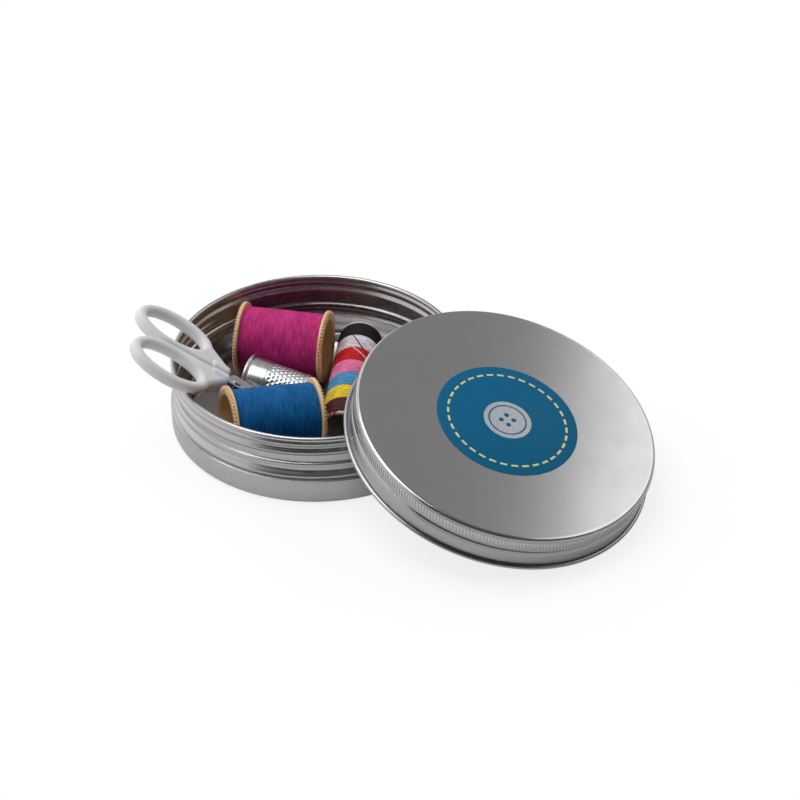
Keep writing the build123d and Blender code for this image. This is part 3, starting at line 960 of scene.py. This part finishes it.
def makeHandle(name, node, other, body, material):
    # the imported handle, merged, remade in small even faces, worn round and swollen
    clearSelection()
    bpy.ops.mesh.primitive_cube_add(size=1, location=(0, 0, 0))
    piece = bpy.context.object
    piece.name = name
    piece.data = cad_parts[node].data.copy()
    bpy.ops.object.mode_set(mode="EDIT")
    bpy.ops.mesh.select_all(action="SELECT")
    bpy.ops.mesh.remove_doubles(threshold=1e-6)
    bpy.ops.object.mode_set(mode="OBJECT")
    applyModifier(piece, "REMESH", mode="VOXEL", voxel_size=shears["voxel"] * mm)
    applyModifier(piece, "SMOOTH", factor=0.5, iterations=shears["rounding"])
    points = readPoints(piece)
    normals = np.array([v.normal for v in piece.data.vertices])
    near = [searchTree(n) for n in (other, "tin_body", "blue_spool")]
    room = [min(tree.find_nearest(v.co)[3] for tree in near) for v in piece.data.vertices]
    share = np.clip((np.array(room) / mm - shears["keepClear"]) / shears["swellOver"], 0, 1)
    points += normals * (shears["fuller"] * mm * share * share * (3 - 2 * share))[:, None]
    # the block by the rivet reaches further down than the rest
    rivet, rivetLength = turnedFrame("scissor_rivet", (0.6, 0, 0.8))
    inward = np.array(rivet.inverted())
    local = (points @ inward[:3, :3].T + inward[:3, 3]) / mm
    onBlock = np.clip((shears["blockEnd"] - local[:, 1]) / shears["blockRamp"], 0, 1)
    below = np.clip((rivetLength / 2 - local[:, 2]) / shears["blockRamp"], 0, 1)
    drop = shears["blockDeeper"] * mm * onBlock * below
    points -= np.array(rivet.col[2].to_3d()) * drop[:, None]
    writePoints(piece, points)
    keepVector(piece, "local", readPoints(piece))
    finishPiece(piece, body, material, [node], 60)
    print(name, "done", len(piece.data.polygons))


def paintNode(node, material):
    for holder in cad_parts[node].material_slots:
        holder.material = material


def plainCoordinates(tree):
    return addNode(tree, "ShaderNodeTexCoord").outputs["Object"]


def makeHardware():
    steel, tree, shader = newMaterial("bladeSteel", (0.62, 0.63, 0.65), 0.26, Metallic=1.0)
    turned = {"Vector": plainCoordinates(tree), "Rotation": (0, shears["bladeSlope"], 0)}
    where = addNode(tree, "ShaderNodeMapping", turned)
    ground = noise(tree, scaled(tree, where.outputs[0], (1, 0.08, 1)), 5200, 4.0, 0.7)
    tree.links.new(ranged(tree, ground, 0.2, 0.34), shader.inputs["Roughness"])
    tree.links.new(mixColor(tree, ranged(tree, ground, 0, 1), (0.50, 0.51, 0.53), (0.66, 0.67, 0.69)),
                   shader.inputs["Base Color"])
    tree.links.new(bump(tree, ground, 0.4, 0.006).outputs[0], shader.inputs["Normal"])
    paintNode("front_blade", steel)
    paintNode("rear_blade", steel)
    rivet, tree, shader = newMaterial("rivetSteel", (0.58, 0.58, 0.6), 0.24, Metallic=1.0)
    pits = noise(tree, plainCoordinates(tree), 2600, 4.0, 0.6)
    tree.links.new(ranged(tree, pits, 0.18, 0.34), shader.inputs["Roughness"])
    tree.links.new(mixColor(tree, ranged(tree, pits, 0, 1), (0.48, 0.48, 0.5), (0.62, 0.62, 0.64)),
                   shader.inputs["Base Color"])
    tree.links.new(bump(tree, pits, 0.3, 0.008).outputs[0], shader.inputs["Normal"])
    paintNode("scissor_rivet", rivet)
    foam, tree, shader = newMaterial("linerFoam", (0.8, 0.8, 0.78), 0.75)
    cells = addNode(tree, "ShaderNodeTexVoronoi", {"Vector": plainCoordinates(tree), "Scale": 2600})
    cloud = noise(tree, plainCoordinates(tree), 240, 3.0, 0.5)
    tree.links.new(mixColor(tree, ranged(tree, cloud, 0, 1), (0.72, 0.72, 0.69), (0.84, 0.84, 0.82)),
                   shader.inputs["Base Color"])
    tree.links.new(bump(tree, cells.outputs["Distance"], 0.4, 0.05).outputs[0], shader.inputs["Normal"])
    paintNode("lid_liner", foam)
    print("hardware done")


# ---- stage, light and camera
stage = {
    "floorSize": 6.0,
    "cameraPlace": (0.02314, -0.5401, 0.38976),
    "cameraDip": 0.619,
    "focalPixels": 2341.3,
    "imagePixels": 800,
    "frontLight": 0.07,
    "behindLight": 0.3,
    "behindRange": (-0.15, 0.55),
    "leftLight": 0.95,
    "windowAcross": (-0.72, 0.69),   # direction across the window, in X and Y
    "windowEdge": (0.0, 0.1),        # where it starts along that direction
    "windowSide": (-0.05, -0.3),     # and along X
    "windowTop": (0.55, 0.8),        # where it ends in height
    "panels": {                      # place, target, size, power
        "overheadPanel": ((-0.35, 0.05, 1.2), (0, 0, 0), (0.9, 0.9), 9.0),
        "rightPanel": ((1.03, 0.55, 1.0), (1.03, 0.55, 0), (0.8, 1.4), 5.0),
    },
    "floorWhite": 1.08,
    "floorSeen": 0.75,         # share of plain white in the floor as the camera sees it
    "floorMirrored": 0.2,      # and as metal shows it
}


def makeFloor():
    clearSelection()
    bpy.ops.mesh.primitive_plane_add(size=stage["floorSize"], location=(0, 0, 0))
    floor = bpy.context.object
    floor.name = "paleFloor"
    material, tree, shader = newMaterial("paleFloor", (0.88, 0.88, 0.88), 0.8)
    path = addNode(tree, "ShaderNodeLightPath").outputs
    mirrored = math2(tree, "MAXIMUM", path["Is Glossy Ray"], path["Is Transmission Ray"])
    share = math2(tree, "MAXIMUM", math2(tree, "MULTIPLY", path["Is Camera Ray"], stage["floorSeen"]),
                  math2(tree, "MULTIPLY", mirrored, stage["floorMirrored"]))
    glow = addNode(tree, "ShaderNodeEmission", {"Strength": stage["floorWhite"]})
    both = addNode(tree, "ShaderNodeMixShader", {0: share, 1: shader.outputs[0], 2: glow.outputs[0]})
    tree.links.new(both.outputs[0], tree.nodes["Material Output"].inputs["Surface"])
    floor.data.materials.append(material)


def addPanel(name, location, target, size, power):
    clearSelection()
    bpy.ops.object.light_add(type="AREA", location=location)
    panel = bpy.context.object
    panel.name = name
    panel.data.shape = "RECTANGLE"
    panel.data.size, panel.data.size_y = size
    panel.data.energy = power
    aim = Vector(target) - Vector(location)
    panel.rotation_euler = aim.to_track_quat("-Z", "Y").to_euler()


def makeWorld():
    world = bpy.data.worlds.new("softRoom")
    bpy.context.scene.world = world
    world.use_nodes = True
    tree = world.node_tree
    direction = addNode(tree, "ShaderNodeTexCoord").outputs["Generated"]
    split = addNode(tree, "ShaderNodeSeparateXYZ", {0: direction}).outputs
    behind = math2(tree, "MULTIPLY", ranged(tree, split[1], 0, 1, *stage["behindRange"]),
                   stage["behindLight"])
    # a low, wide window on the left, with a fairly sharp front edge
    acrossX, acrossY = stage["windowAcross"]
    across = math2(tree, "ADD", math2(tree, "MULTIPLY", split[0], acrossX),
                   math2(tree, "MULTIPLY", split[1], acrossY))
    window = math2(tree, "MULTIPLY", ranged(tree, across, 0, 1, *stage["windowEdge"]),
                   ranged(tree, split[0], 0, 1, *stage["windowSide"]))
    window = math2(tree, "MULTIPLY", window, ranged(tree, split[2], 1, 0, *stage["windowTop"]))
    left = math2(tree, "MULTIPLY", window, stage["leftLight"])
    level = math2(tree, "ADD", math2(tree, "ADD", behind, left), stage["frontLight"])
    tree.links.new(level, tree.nodes["Background"].inputs["Color"])
    tree.nodes["Background"].inputs["Strength"].default_value = 1.0


def makeCamera():
    clearSelection()
    bpy.ops.object.camera_add(location=stage["cameraPlace"],
                              rotation=(math.pi / 2 - stage["cameraDip"], 0, 0))
    camera = bpy.context.object
    camera.data.lens = stage["focalPixels"] * camera.data.sensor_width / stage["imagePixels"]
    camera.data.clip_start = 0.01
    bpy.context.scene.camera = camera


makeTin()
lidPlace, lidHeight = makeLid()
makeLabel(lidPlace, lidHeight)
beige = spoolMaterial()
spoolThreads = {  # direction of the axis, colour, seed
    "magenta": ((1, -0.2, 0), (0.58, 0.03, 0.21), 7),
    "blue": ((1, 0.32, -0.1), (0.0, 0.115, 0.34), 4),
}
for colour, (towards, shade, seed) in spoolThreads.items():
    makeSpool(colour + "Spool", colour + "_spool", colour + "_reel", towards, beige)
    makeWound(colour + "Wound", colour + "_thread", colour + "_reel", towards,
              spool["barrelRadius"] + wound["spoolGap"], wound["spoolOuter"], wound["spoolCrown"],
              wound["spoolPitch"], wound["spoolSteps"],
              threadMaterial(colour + "SpoolThread", shade, 0.02), seed)
print("spools done")
makeThimble()
makeTube()
white = handleMaterial()
makeHandle("frontHandle", "front_handle", "rear_handle", "front_scissor", white)
makeHandle("rearHandle", "rear_handle", "front_handle", "rear_scissor", white)
makeHardware()
makeFloor()
makeWorld()
for name, settings in stage["panels"].items():
    addPanel(name, *settings)
makeCamera()
print("stage done")

scene = bpy.context.scene
scene.view_settings.view_transform = "Standard"
